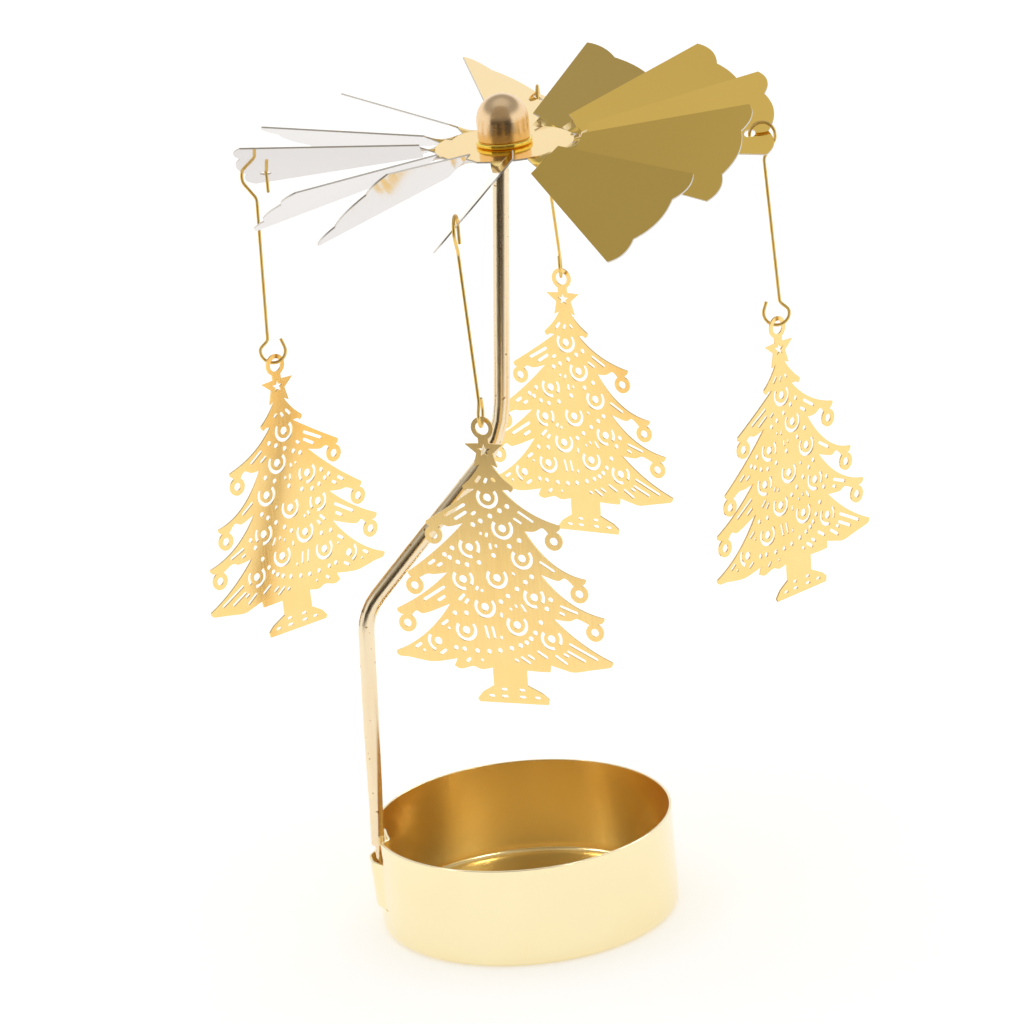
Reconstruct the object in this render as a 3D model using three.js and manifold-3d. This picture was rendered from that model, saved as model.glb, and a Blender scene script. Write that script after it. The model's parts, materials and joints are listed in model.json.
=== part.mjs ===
// Rotating candle holder: a tealight cup, a cranked rod standing in the cup's clip, and a
// twelve-blade fan that turns on the rod's point and carries four pierced trees on wire hooks.
// Millimetres, +Z up, origin at the middle of the cup's standing face, rod on the -X side.
import * as THREE from 'three';
import { mergeVertices } from 'three/addons/utils/BufferGeometryUtils.js';
import Module from 'manifold-3d';

const wasm = await Module();
wasm.setup();

// Candle cup
const cupRadius = 28;
const cupHeight = 19.2;
const cupWall = 0.5;
const cupCorner = 1.5;

// Clip lanced out of the cup's wall: a rim band pushed in and a strap pushed out
const clipTurn = 15.1;
const bandHeight = 4.05;
const strapHeight = 9;
const slitGap = 0.3;
const clipSheet = 0.4;
const clipPlay = 0.3;
const clipRamp = 2;
const strapPushTop = 1.4;
const strapPushBottom = 1;
const clipLap = 0.8;

// Support rod, measured along its lower leg from the slit between band and strap
const rodRadius = 1.5;
const rodLean = 2.8;
const upperLean = 2.2;
const tongueThickness = 1;
const tongueHalfWidth = 2;
const tongueDepth = 4;
const flatThickness = 2.4;
const flatWidth = 4.6;
const flatLength = 27;
const shoulder = 2.9;
const lowerLength = 45.36;
const crankOffset = 26.6;
const crankRise = 31.33;
const upperLength = 63.4;
const lowerBendSetback = 4;
const upperBendSetback = 7;
const pointLength = 3.5;
const pointBlunt = 0.2;

// Pivot cap and its collar
const capRadius = 4.7;
const capWall = 0.6;
const capSkirt = 3.5;
const pivotGap = 0.3;
const collarRadius = 5.1;
const collarHeight = 1;
const collarEdge = 0.25;
const collarBore = 3.2;
const collarTube = 0.5;
const clinchReach = 0.7;
const clinchThickness = 0.4;
const clinchGap = 0.05;
const hubPlay = 0.15;

// Fan. Each blade is set by hand at its neck: degrees of twist, droop of the outer end and yaw
const bladeSets = [
  [29, -3.5, 0], [32, -4.5, 0], [29, -3, 1], [32, 0, 0], [27, 3, 0], [26, 3.5, -2],
  [31, 0.5, 0], [29, 5, 2], [40, -0.5, -3], [46, -2, -6], [34, 10, 7], [36, -2, 0],
];
const bladeHalfAngle = 13.2;
const fanSheet = 0.3;
const fanTurn = 2.8;
const hubRadius = 12.6;
const neckLength = 2.6;
const neckHalfWidth = 2;
const bladeReach = 48.5;
const cornerDrop = 2.1;
const sideLobeDrop = 0.6;
const cuspDrop = 1.4;
const cuspShare = 0.45;
const sideLobeShare = 0.75;

// Wire hooks, each hung in a hole behind the low notch in its blade's outer edge. Each shank leans
// a little outwards and sideways on its way down to the eye
const hookNames = ['right', 'back', 'left', 'front'];
const wireRadius = 0.35;
const hookHoleRadius = 1.05;
const hookHoleInset = 4.7;
const bowRadius = 2.25;
const bowSeat = 0.6;
const freeLeg = 3.3;
const shankStart = 4.9;
const shankLength = 25.4;
const eyeShifts = [[0, 0], [1.2, -1.2], [0, 0], [0, 1.2]];
const eyeRadius = 2.3;
const eyeHeight = 5;
const shankOffset = 0.8;
const eyeMouth = 1.4;
const eyeStart = 10;
const eyeEnd = -190;

// Pierced trees, drawn from the middle of the hanging ring
const treeSheet = 0.3;
const treeYaws = [47, -119, 43, 76];
const ringRadius = 2.05;
const ringHole = 1.25;
const ringGap = 0.45;
const starDrop = 4.1;
const starRadius = 3.6;
const starWaist = 1.55;
const starHole = 1.25;
const starHoleWaist = 0.5;
const neckWidth = 1.5;
const neckDrop = 7.1;
const tipThickness = 0.9;
const flareReach = 0.4;
const flareDrop = 0.9;
const ballRadius = 1.6;
const ballHole = 0.75;
const ballStart = 70;
const ballEnd = -240;
const tiers = [
  { tip: [4.7, -10.6], notch: [2.5, -11.2] },
  { tip: [13, -17.5], notch: [5.7, -18.7], ball: [11.4, -20.2] },
  { tip: [16.8, -27.1], notch: [8.5, -26.6], ball: [15.6, -29.6] },
  { tip: [19.6, -34.1], notch: [9.8, -34.2], ball: [17.8, -36.6] },
];
const skirtTip = [20.5, -42.4];
const skirtHem = [[20, -43], [17, -43.7], [13.5, -44.2], [9.4, -43], [9.4, -44.4], [6.8, -44.7]];
const trunkOffset = 1;
const trunkTop = [3.1, -43.7];
const trunkFoot = [[2.8, -48], [4.6, -48.4], [6.6, -49.7], [6.6, -50.7]];
const baubles = [
  [-0.3, -12.9], [2, -18.3], [-4.5, -21.9], [5.2, -23.6], [-6.4, -27.8], [0, -27.6],
  [6.8, -30.6], [-2.7, -33], [3.1, -36.3], [-6.6, -37.5], [-11.2, -40.6], [9.3, -38.6],
];
const baubleRadius = 1.7;
const baubleLine = 0.45;
const baubleMouth = 50;
const baubleDot = 0.6;
const needleWidth = 0.5;
const needles = [
  { middle: [6.4, -16.4], length: 3.2, fall: 35, sides: [-1, 1] },
  { middle: [9.9, -25], length: 3.6, fall: 32, sides: [-1, 1] },
  { middle: [13.4, -33], length: 4.2, fall: 24, sides: [-1, 1] },
  { middle: [14.9, -40.9], length: 6.2, fall: 26, sides: [1] },
  { middle: [12.6, -42], length: 3.2, fall: 28, sides: [1] },
];

// Facets and segments of the curved faces
const cupFacets = 60;
const cornerSegments = 3;
const stripSegments = 16;
const turnedFacets = 24;
const domeSegments = 6;
const rodFacets = 10;
const rodSegments = 48;
const tongueSegments = 8;
const neckSegments = 4;
const gapSegments = 3;
const lobeSegments = 4;
const hookHoleFacets = 10;
const wireFacets = 5;
const wireSegments = 44;
const bowSegments = 8;
const ringFacets = 10;
const branchSegments = 4;
const ballSegments = 7;
const ballHoleFacets = 7;
const sagSegments = 2;
const crescentSegments = 5;
const dotFacets = 5;

// How far cutters run past the face that they open
const cutSlack = 1;

const radians = THREE.MathUtils.degToRad;
const v2 = (x, y) => new THREE.Vector2(x, y);
const v3 = (x, y, z) => new THREE.Vector3(x, y, z);
const xAxis = v3(1, 0, 0);
const yAxis = v3(0, 1, 0);
const zAxis = v3(0, 0, 1);

// Points on a circle from one angle to another, ends included
function arcPoints(x, y, radius, from, to, steps) {
  return Array.from({ length: steps + 1 }, (_, i) => {
    const angle = radians(from + ((to - from) * i) / steps);
    return v2(x + radius * Math.cos(angle), y + radius * Math.sin(angle));
  });
}

// Points of a quadratic curve from a to b, without a itself
function sweepPoints(a, control, b, steps) {
  return new THREE.QuadraticBezierCurve(a, control, b).getPoints(steps).slice(1);
}

// A closed solid for cutting and joining, from any closed geometry
function solidOf(geometry) {
  const bare = geometry.clone();
  bare.deleteAttribute('normal');
  bare.deleteAttribute('uv');
  const merged = mergeVertices(bare, 1e-4);
  const corners = merged.index.array;
  const kept = [];
  for (let i = 0; i < corners.length; i += 3) {
    const [a, b, c] = corners.slice(i, i + 3);
    if (a !== b && b !== c && c !== a) kept.push(a, b, c);
  }
  return new wasm.Manifold(new wasm.Mesh({
    numProp: 3,
    vertProperties: new Float32Array(merged.attributes.position.array),
    triVerts: new Uint32Array(kept),
  }));
}

function geometryOf(solid) {
  const mesh = solid.getMesh();
  const geometry = new THREE.BufferGeometry();
  geometry.setAttribute('position', new THREE.BufferAttribute(mesh.vertProperties, 3));
  geometry.setIndex(new THREE.BufferAttribute(mesh.triVerts, 1));
  geometry.computeVertexNormals();
  return geometry;
}

// A solid of revolution about +Z from [radius, height] points listed anticlockwise
function turned(points, facets) {
  const profile = points.map(([radius, height]) => v2(radius, height));
  const geometry = new THREE.LatheGeometry(profile, facets);
  return solidOf(geometry.rotateX(Math.PI / 2));
}

// Moves every vertex of a geometry by a function of its place
function reshape(geometry, move) {
  const position = geometry.attributes.position;
  const point = v3(0, 0, 0);
  for (let i = 0; i < position.count; i += 1) {
    move(point.fromBufferAttribute(position, i));
    position.setXYZ(i, point.x, point.y, point.z);
  }
  return geometry;
}

function brass(color, roughness) {
  return new THREE.MeshStandardMaterial({ color, roughness, metalness: 1 });
}

function part(name, geometry, material) {
  const mesh = new THREE.Mesh(geometry, material);
  mesh.name = name;
  return mesh;
}

// Candle cup and its clip
const wallMiddle = cupRadius - cupWall / 2;
const slitHeight = cupHeight - bandHeight - slitGap / 2;
const strapTop = slitHeight - slitGap / 2;
const strapBottom = strapTop - strapHeight;
const clipPlateau = flatWidth / 2 + clipPlay;
const clipHalfWidth = clipPlateau + clipRamp;
const leanSlope = Math.tan(radians(rodLean));
const bandPush = flatThickness / 2 + (cupHeight - slitHeight) * leanSlope + clipPlay + clipSheet / 2;

// A strip of the wall between two heights, bulged by a push that eases out at both ends
function clipStrip(bottom, top, pushBottom, pushTop) {
  const length = 2 * (clipHalfWidth + clipLap);
  const strip = new THREE.BoxGeometry(length, clipSheet, top - bottom, stripSegments, 1, 1);
  return solidOf(reshape(strip, (point) => {
    const share = point.z / (top - bottom) + 0.5;
    const ease = THREE.MathUtils.smoothstep(clipHalfWidth - Math.abs(point.x), 0, clipRamp);
    const push = THREE.MathUtils.lerp(pushBottom, pushTop, share) * ease;
    const radius = wallMiddle + point.y + push;
    const angle = point.x / wallMiddle - radians(clipTurn);
    point.set(-radius * Math.cos(angle), radius * Math.sin(angle), point.z + (top + bottom) / 2);
  }));
}

function candleCup() {
  const inner = cupRadius - cupWall;
  const middle = cupRadius - cupCorner;
  const outerCorner = arcPoints(middle, cupCorner, cupCorner, -90, 0, cornerSegments);
  const innerCorner = arcPoints(middle, cupCorner, cupCorner - cupWall, 0, -90, cornerSegments);
  const shell = turned([
    [0, 0],
    ...outerCorner.map((point) => point.toArray()),
    [cupRadius, cupHeight],
    [inner, cupHeight],
    ...innerCorner.map((point) => point.toArray()),
    [0, cupWall],
  ], cupFacets);
  const windowBottom = strapBottom - slitGap;
  const windowHeight = cupHeight - windowBottom + cutSlack;
  const windowBox = new THREE.BoxGeometry(2 * clipRamp, 2 * clipHalfWidth, windowHeight);
  windowBox.translate(-wallMiddle, 0, windowBottom + windowHeight / 2).rotateZ(radians(clipTurn));
  const band = clipStrip(slitHeight + slitGap / 2, cupHeight, -bandPush, -bandPush);
  const strap = clipStrip(strapBottom, strapTop, strapPushBottom, strapPushTop);
  return shell.subtract(solidOf(windowBox)).add(band).add(strap);
}

// Support rod, built upright about its own foot and leaned in the clip afterwards
const lowerBend = shoulder + lowerLength;
const upperBend = lowerBend + crankRise;
const upperRise = zAxis.clone().applyAxisAngle(yAxis, radians(upperLean));
const rodTop = v3(crankOffset, 0, upperBend).addScaledVector(upperRise, upperLength);

function rodPath() {
  const slope = v3(crankOffset, 0, crankRise).normalize();
  const low = v3(0, 0, lowerBend);
  const high = v3(crankOffset, 0, upperBend);
  const lowIn = low.clone().add(v3(0, 0, -lowerBendSetback));
  const lowOut = low.clone().addScaledVector(slope, lowerBendSetback);
  const highIn = high.clone().addScaledVector(slope, -upperBendSetback);
  const highOut = high.clone().addScaledVector(upperRise, upperBendSetback);
  const path = new THREE.CurvePath();
  path.add(new THREE.LineCurve3(v3(0, 0, shoulder), lowIn));
  path.add(new THREE.QuadraticBezierCurve3(lowIn, low, lowOut));
  path.add(new THREE.LineCurve3(lowOut, highIn));
  path.add(new THREE.QuadraticBezierCurve3(highIn, high, highOut));
  path.add(new THREE.LineCurve3(highOut, rodTop));
  return path;
}

// A closed tube along a path
function wireAlong(path, radius, facets, steps) {
  const section = new THREE.Shape(arcPoints(0, 0, radius, 0, 360, facets).slice(0, -1));
  return new THREE.ExtrudeGeometry(section, { extrudePath: path, steps, bevelEnabled: false });
}

function supportRod() {
  const round = wireAlong(rodPath(), rodRadius, rodFacets, rodSegments);
  const pressed = reshape(round, (point) => {
    const press = 1 - THREE.MathUtils.smoothstep(point.z, shoulder, shoulder + flatLength);
    if (point.z > lowerBend - lowerBendSetback) return;
    const half = THREE.MathUtils.lerp(rodRadius, flatThickness / 2, press);
    point.x = THREE.MathUtils.clamp(point.x, -half, half);
    point.y *= THREE.MathUtils.lerp(1, flatWidth / (2 * rodRadius), press);
  });
  const outline = new THREE.Shape([
    v2(tongueHalfWidth, shoulder + flatThickness),
    v2(-tongueHalfWidth, shoulder + flatThickness),
    ...arcPoints(0, tongueHalfWidth - tongueDepth, tongueHalfWidth, 180, 360, tongueSegments),
  ]);
  const tongue = new THREE.ExtrudeGeometry(outline, { depth: tongueThickness, bevelEnabled: false });
  tongue.translate(0, 0, -tongueThickness / 2);
  tongue.rotateX(Math.PI / 2);
  tongue.rotateZ(Math.PI / 2);
  const wide = 2 * rodRadius;
  const coneDrop = (pointLength * (wide - pointBlunt)) / (rodRadius - pointBlunt);
  const sharpener = turned([
    [pointBlunt, 0],
    [wide, -coneDrop],
    [wide, cutSlack],
    [pointBlunt, cutSlack],
    [pointBlunt, 0],
  ], turnedFacets).rotate([0, upperLean, 0]).translate(rodTop.toArray());
  return solidOf(pressed).add(solidOf(tongue)).subtract(sharpener);
}

// Rotor heights, from the rod's point down. The rod is turned so that its point stands over the X axis
const lean = radians(rodLean);
const foot = v3(-wallMiddle, 0, slitHeight).applyAxisAngle(zAxis, radians(clipTurn));
const rodReach = rodTop.clone().applyAxisAngle(yAxis, lean);
const rodTurn = Math.asin(-foot.y / rodReach.x);
const axisX = foot.x + rodReach.x * Math.cos(rodTurn);
const pointHeight = foot.z + rodReach.z;
const capBase = pointHeight + pivotGap + capWall - capRadius - capSkirt;
const hubTop = capBase - collarHeight;
const fanMiddle = hubTop - fanSheet / 2;

function pivotCap() {
  const outer = arcPoints(0, capSkirt, capRadius, 0, 90, domeSegments);
  const inner = arcPoints(0, capSkirt, capRadius - capWall, 90, 0, domeSegments - 1);
  outer.at(-1).x = 0;
  inner[0].x = 0;
  return turned([
    [0, inner[0].y],
    ...inner.slice(1).map((point) => point.toArray()),
    [capRadius - capWall, 0],
    [capRadius, 0],
    ...outer.map((point) => point.toArray()),
  ], turnedFacets);
}

// Flanged eyelet: ring above the hub, tube through it, clinched flange below
function capCollar() {
  const tubeRadius = collarBore + collarTube;
  const clinchTop = -fanSheet - clinchGap;
  const clinchBottom = clinchTop - clinchThickness;
  return turned([
    [collarBore, collarHeight],
    [collarBore, clinchBottom],
    [tubeRadius + clinchReach, clinchBottom],
    [tubeRadius + clinchReach, clinchTop],
    [tubeRadius, clinchTop],
    [tubeRadius, 0],
    [collarRadius - collarEdge, 0],
    [collarRadius, collarEdge],
    [collarRadius, collarHeight - collarEdge],
    [collarRadius - collarEdge, collarHeight],
    [collarBore, collarHeight],
  ], turnedFacets);
}

// One closed sheet from flat zones that share their edges. Each zone is triangulated flat and
// then formed, and a wall closes every edge that no second zone shares.
function formedSheet(zones, thickness) {
  const corners = [];
  const edges = new Map();
  const nameOf = (point) => `${point.x.toFixed(3)} ${point.y.toFixed(3)}`;
  for (const { outline, holes = [], place, form } of zones) {
    const points = [outline, ...holes].flat();
    for (const triangle of THREE.ShapeUtils.triangulateShape(outline, holes)) {
      const sides = triangle.map((index) => {
        const { x, y } = points[index];
        return {
          name: nameOf(place(v3(x, y, 0))),
          top: place(form(v3(x, y, thickness / 2))),
          bottom: place(form(v3(x, y, -thickness / 2))),
        };
      });
      corners.push(...sides.map((side) => side.top));
      corners.push(...sides.map((side) => side.bottom).reverse());
      sides.forEach((start, i) => {
        const end = sides[(i + 1) % 3];
        edges.set(`${start.name}|${end.name}`, [start, end]);
      });
    }
  }
  for (const [start, end] of edges.values()) {
    if (edges.has(`${end.name}|${start.name}`)) continue;
    corners.push(start.bottom, end.bottom, end.top);
    corners.push(start.bottom, end.top, start.top);
  }
  return new THREE.BufferGeometry().setFromPoints(corners);
}

// Fan: hub, necks that twist from level to the blade pitch, and scalloped blades
const neckBase = Math.sqrt(hubRadius ** 2 - neckHalfWidth ** 2);
const neckEnd = neckBase + neckLength;
const hubHole = collarBore + collarTube + hubPlay;
const cornerReach = bladeReach - cornerDrop;
const bladeSlope = Math.tan(radians(bladeHalfAngle));
const cornerHalfWidth = cornerReach * bladeSlope;
const bladeStep = 360 / bladeSets.length;
const hookBlades = bladeSets.length / hookNames.length;
const holeReach = bladeReach - hookHoleInset;
const holeOffset = cuspShare * cornerHalfWidth;

// Bends a point of a flat blade to the blade's set, which comes in evenly along the neck
function setBlade(point, [twist, droop, yaw]) {
  const share = THREE.MathUtils.clamp((point.x - neckBase) / neckLength, 0, 1);
  const neckMiddle = v3(neckBase + neckLength / 2, 0, 0);
  point.sub(neckMiddle).applyAxisAngle(xAxis, radians(twist) * share);
  point.applyAxisAngle(yAxis, radians(droop) * share).applyAxisAngle(zAxis, radians(yaw) * share);
  return point.add(neckMiddle);
}

// Arc from a to b through a middle point, without a itself
function arcThrough(a, middle, b, steps) {
  const control = middle.clone().multiplyScalar(2).addScaledVector(a, -0.5).addScaledVector(b, -0.5);
  return sweepPoints(a, control, b, steps);
}

function bladeOutline() {
  const at = (drop, share) => v2(bladeReach - drop, share * cornerHalfWidth);
  const corner = at(cornerDrop, -1);
  const cusp = at(cuspDrop, -cuspShare);
  const farCusp = at(cuspDrop, cuspShare);
  return [
    v2(neckEnd, -neckHalfWidth),
    v2(neckEnd, -neckEnd * bladeSlope),
    corner,
    ...arcThrough(corner, at(sideLobeDrop, -sideLobeShare), cusp, lobeSegments),
    ...arcThrough(cusp, at(0, 0), farCusp, lobeSegments + 2),
    ...arcThrough(farCusp, at(sideLobeDrop, sideLobeShare), at(cornerDrop, 1), lobeSegments),
    v2(neckEnd, neckEnd * bladeSlope),
    v2(neckEnd, neckHalfWidth),
  ];
}

function fan() {
  const level = (point) => point;
  const neckAngle = THREE.MathUtils.radToDeg(Math.asin(neckHalfWidth / hubRadius));
  const zones = [];
  const rim = [];
  bladeSets.forEach((bladeSet, i) => {
    const turn = bladeStep * i;
    const place = (point) => point.applyAxisAngle(zAxis, radians(turn));
    const form = (point) => setBlade(point, bladeSet);
    const edge = (y) => place(v3(neckBase, y, 0));
    const gap = arcPoints(0, 0, hubRadius, turn + neckAngle, turn + bladeStep - neckAngle, gapSegments);
    for (const point of [edge(-neckHalfWidth), edge(neckHalfWidth)]) rim.push(v2(point.x, point.y));
    rim.push(...gap.slice(1, -1));
    for (let k = 0; k < neckSegments; k += 1) {
      const from = neckBase + (neckLength * k) / neckSegments;
      const to = neckBase + (neckLength * (k + 1)) / neckSegments;
      const outline = [
        v2(from, -neckHalfWidth),
        v2(to, -neckHalfWidth),
        v2(to, neckHalfWidth),
        v2(from, neckHalfWidth),
      ];
      zones.push({ outline, place, form });
    }
    const hole = arcPoints(holeReach, -holeOffset, hookHoleRadius, 360, 0, hookHoleFacets).slice(0, -1);
    const holes = i % hookBlades === 0 ? [hole] : [];
    zones.push({ outline: bladeOutline(), holes, place, form });
  });
  const bore = arcPoints(0, 0, hubHole, 360, 0, turnedFacets).slice(0, -1);
  zones.push({ outline: rim, holes: [bore], place: level, form: level });
  return formedSheet(zones, fanSheet);
}

// Wire hook in its own plane, drawn from the middle of the bow that hangs over the blade's edge
const hookDrop = shankStart + shankLength + eyeHeight;

// Where the middle of a bow lies in the rotor: it sinks below the top face of its blade, and its
// wire crosses that face in the middle of the hole
function bowPlace(i) {
  const bladeSet = bladeSets[i * hookBlades];
  const bowReach = Math.sqrt(bowRadius ** 2 - bowSeat ** 2);
  const seat = setBlade(v3(holeReach + bowReach, -holeOffset, 0), bladeSet);
  seat.z += fanMiddle + fanSheet / (2 * Math.cos(radians(bladeSet[0]))) - bowSeat;
  return seat.applyAxisAngle(zAxis, radians(fanTurn + i * hookBlades * bladeStep));
}

function wireHook([outwards, sideways]) {
  const bow = arcPoints(0, 0, bowRadius, 180, 0, bowSegments);
  const eyeMiddle = eyeRadius - hookDrop;
  const eye = arcPoints(0, eyeMiddle, eyeRadius, eyeStart, eyeEnd, bowSegments);
  const flat = [
    v2(-bowRadius, -freeLeg),
    v2(-bowRadius, -freeLeg / 2),
    ...bow,
    v2(shankOffset, -shankStart + bowRadius / 2),
    v2(0, -shankStart),
    v2(shankOffset / 2, -shankStart - shankLength / 2),
    v2(shankOffset, -shankStart - shankLength),
    ...eye,
    v2(-eyeMouth, -hookDrop + eyeHeight - wireRadius),
  ];
  const path = new THREE.CatmullRomCurve3(flat.map(({ x, y }) => v3(x, 0, y)), false, 'centripetal');
  return reshape(wireAlong(path, wireRadius, wireFacets, wireSegments), (point) => {
    const share = THREE.MathUtils.clamp((-point.z - shankStart) / shankLength, 0, 1);
    point.x += outwards * share;
    point.y += sideways * share;
  });
}

// Pierced tree, drawn in its own plane from the middle of the ring
function starPoints(middle, radius, waist) {
  return Array.from({ length: 10 }, (_, i) => {
    const angle = radians(90 - 36 * i);
    const reach = i % 2 ? waist : radius;
    return v2(reach * Math.cos(angle), middle + reach * Math.sin(angle));
  });
}

// The right-hand edge from the ring down to the hem
function treeSide() {
  const star = starPoints(-starDrop, starRadius, starWaist);
  const side = [...star.slice(1, 5), v2(neckWidth, -neckDrop)];
  let notch = side.at(-1);
  for (const tier of tiers) {
    const tip = v2(...tier.tip);
    const next = v2(...tier.notch);
    side.push(...branchTop(notch, tip));
    side.push(v2(tip.x - tipThickness / 3, tip.y - tipThickness));
    if (tier.ball) {
      const ball = arcPoints(...tier.ball, ballRadius, ballStart, ballEnd, ballSegments);
      const sag = v2((ball.at(-1).x + next.x) / 2, ball.at(-1).y - tipThickness);
      side.push(...ball, ...sweepPoints(ball.at(-1), sag, next, sagSegments));
    } else {
      side.push(next);
    }
    notch = next;
  }
  side.push(...branchTop(notch, v2(...skirtTip)));
  side.push(...skirtHem.map(([x, y]) => v2(x, y)));
  return side;
}

// A branch falls steeply from its notch, then flares out to its tip
function branchTop(notch, tip) {
  const control = v2(
    THREE.MathUtils.lerp(notch.x, tip.x, flareReach),
    THREE.MathUtils.lerp(notch.y, tip.y, flareDrop),
  );
  return sweepPoints(notch, control, tip, branchSegments);
}

function treeOutline() {
  const side = treeSide();
  const trunk = [trunkTop, ...trunkFoot].map(([x, y]) => v2(x, y));
  const mirrored = (point) => v2(-point.x, point.y);
  const offset = (point) => v2(point.x + trunkOffset, point.y);
  const ringFoot = THREE.MathUtils.radToDeg(Math.acos(side[0].x / ringRadius));
  return [
    ...arcPoints(0, 0, ringRadius, -ringFoot, 180 + ringFoot, ringFacets),
    ...side.map(mirrored),
    ...trunk.map(mirrored).map(offset),
    ...trunk.map(offset).reverse(),
    ...[...side].reverse(),
  ];
}

// A crescent cut under a bauble's dot, open at the top
function crescent([x, y]) {
  const from = 90 + baubleMouth;
  const to = from + 360 - 2 * baubleMouth;
  return [
    ...arcPoints(x, y, baubleRadius + baubleLine / 2, from, to, crescentSegments),
    ...arcPoints(x, y, baubleRadius - baubleLine / 2, to, from, crescentSegments - 1),
  ];
}

// A slot that lies along a branch, falling outwards
function needleSlot({ middle, length, fall }, side) {
  const along = v2(Math.cos(radians(fall)), -Math.sin(radians(fall)));
  const across = v2(-along.y, along.x);
  return [[-1, -1], [1, -1], [1, 1], [-1, 1]].map(([a, b]) => {
    const point = v2(...middle).addScaledVector(along, (a * length) / 2);
    point.addScaledVector(across, (b * needleWidth) / 2);
    return v2(point.x * side, point.y);
  });
}

function pierced() {
  const dot = (x, y, radius, facets) => arcPoints(x, y, radius, 0, 360, facets).slice(0, -1);
  const cuts = [dot(0, 0, ringHole, ringFacets), starPoints(-starDrop, starHole, starHoleWaist)];
  for (const bauble of baubles) cuts.push(dot(...bauble, baubleDot, dotFacets), crescent(bauble));
  for (const side of [-1, 1]) {
    for (const { ball } of tiers.filter((tier) => tier.ball)) {
      cuts.push(dot(side * ball[0], ball[1], ballHole, ballHoleFacets));
    }
  }
  for (const needle of needles) {
    for (const side of needle.sides) cuts.push(needleSlot(needle, side));
  }
  return cuts;
}

// The ring hangs on the wire, so the tree is placed by the middle of the wire
const ringDrop = ringHole - wireRadius - ringGap;

function tree() {
  const shape = new THREE.Shape(treeOutline());
  shape.holes = pierced().map((points) => new THREE.Path(points));
  const plate = new THREE.ExtrudeGeometry(shape, { depth: treeSheet, bevelEnabled: false });
  plate.translate(0, -ringDrop, -treeSheet / 2);
  return plate.rotateX(Math.PI / 2);
}

// Assembly
const holder = new THREE.Group();
holder.add(part('candle_cup', geometryOf(candleCup()), brass(0xf3dfa6, 0.3)));

const standing = new THREE.Group();
standing.position.copy(foot);
standing.rotation.set(0, lean, rodTurn, 'ZYX');
standing.add(part('support_rod', geometryOf(supportRod()), brass(0xd9c07e, 0.18)));
holder.add(standing);

const rotor = new THREE.Group();
rotor.position.set(axisX, 0, 0);
const cap = part('pivot_cap', geometryOf(pivotCap()), brass(0xc9a271, 0.15));
cap.position.z = capBase;
const collar = part('cap_collar', geometryOf(capCollar()), brass(0xf0cf52, 0.15));
collar.position.z = hubTop;
const blades = part('fan', fan(), brass(0xc9ad5c, 0.2));
blades.position.z = fanMiddle;
blades.rotation.z = radians(fanTurn);
rotor.add(cap, collar, blades);

hookNames.forEach((name, i) => {
  const arm = new THREE.Group();
  const bladeYaw = bladeSets[i * hookBlades][2];
  arm.position.copy(bowPlace(i));
  arm.rotation.z = radians(fanTurn + i * hookBlades * bladeStep + bladeYaw);
  const hook = part(`hook_${name}`, wireHook(eyeShifts[i]), brass(0xd8b765, 0.25));
  const ornament = part(`tree_${name}`, tree(), brass(0xf3d27c, 0.25));
  ornament.position.set(...eyeShifts[i], -hookDrop);
  ornament.rotation.z = radians(treeYaws[i]);
  arm.add(hook, ornament);
  rotor.add(arm);
});
holder.add(rotor);

export default holder;
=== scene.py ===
# Rotating candle holder: finished pieces, finishes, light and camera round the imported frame
import json
import math

import bmesh
import bpy
from mathutils import Matrix, Vector


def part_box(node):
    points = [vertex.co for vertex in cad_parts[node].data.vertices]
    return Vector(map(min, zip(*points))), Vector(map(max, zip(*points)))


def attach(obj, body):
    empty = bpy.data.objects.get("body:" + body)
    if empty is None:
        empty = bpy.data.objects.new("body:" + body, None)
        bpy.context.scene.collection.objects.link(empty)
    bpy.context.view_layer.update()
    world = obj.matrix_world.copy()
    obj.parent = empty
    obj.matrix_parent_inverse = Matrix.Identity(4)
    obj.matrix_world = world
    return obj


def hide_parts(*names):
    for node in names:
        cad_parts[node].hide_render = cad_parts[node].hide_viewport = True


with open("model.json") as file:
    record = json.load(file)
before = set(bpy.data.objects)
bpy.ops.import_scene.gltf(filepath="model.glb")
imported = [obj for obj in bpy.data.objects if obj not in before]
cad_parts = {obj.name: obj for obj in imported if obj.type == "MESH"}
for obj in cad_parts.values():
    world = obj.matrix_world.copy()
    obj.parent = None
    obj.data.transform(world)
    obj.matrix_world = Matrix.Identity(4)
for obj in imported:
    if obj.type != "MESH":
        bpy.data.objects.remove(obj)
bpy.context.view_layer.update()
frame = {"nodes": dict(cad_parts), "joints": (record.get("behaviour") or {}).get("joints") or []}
joints = {joint["name"]: joint for joint in frame["joints"]}
scene = bpy.context.scene
mm = 0.001
facetAngle = 9  # degrees of a bend or an arc to one facet
print("frame loaded:", len(frame["nodes"]), "nodes")


# small helpers

def hexLinear(code):  # sRGB hex to the linear values that shaders take
    parts = [int(code[i:i + 2], 16) / 255 for i in (1, 3, 5)]
    return [p / 12.92 if p <= 0.04045 else ((p + 0.055) / 1.055) ** 2.4 for p in parts] + [1.0]


def addNode(tree, kind, settings=None, inputs=None, stops=None):  # stops: places and colours of a ramp
    node = tree.nodes.new(kind)
    for key, value in (settings or {}).items():
        setattr(node, key, value)
    for key, value in (inputs or {}).items():
        if isinstance(value, bpy.types.NodeSocket):
            tree.links.new(value, node.inputs[key])
        else:
            node.inputs[key].default_value = value
    if stops:
        elements = node.color_ramp.elements
        while len(elements) < len(stops):
            elements.new(0.5)
        for element, (position, colour) in zip(elements, stops):
            element.position = position
            element.color = colour
    return node


def arcPoints(x, y, radius, start, end, steps):
    angles = [math.radians(start + (end - start) * i / steps) for i in range(steps + 1)]
    return [(x + radius * math.cos(a), y + radius * math.sin(a)) for a in angles]


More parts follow.
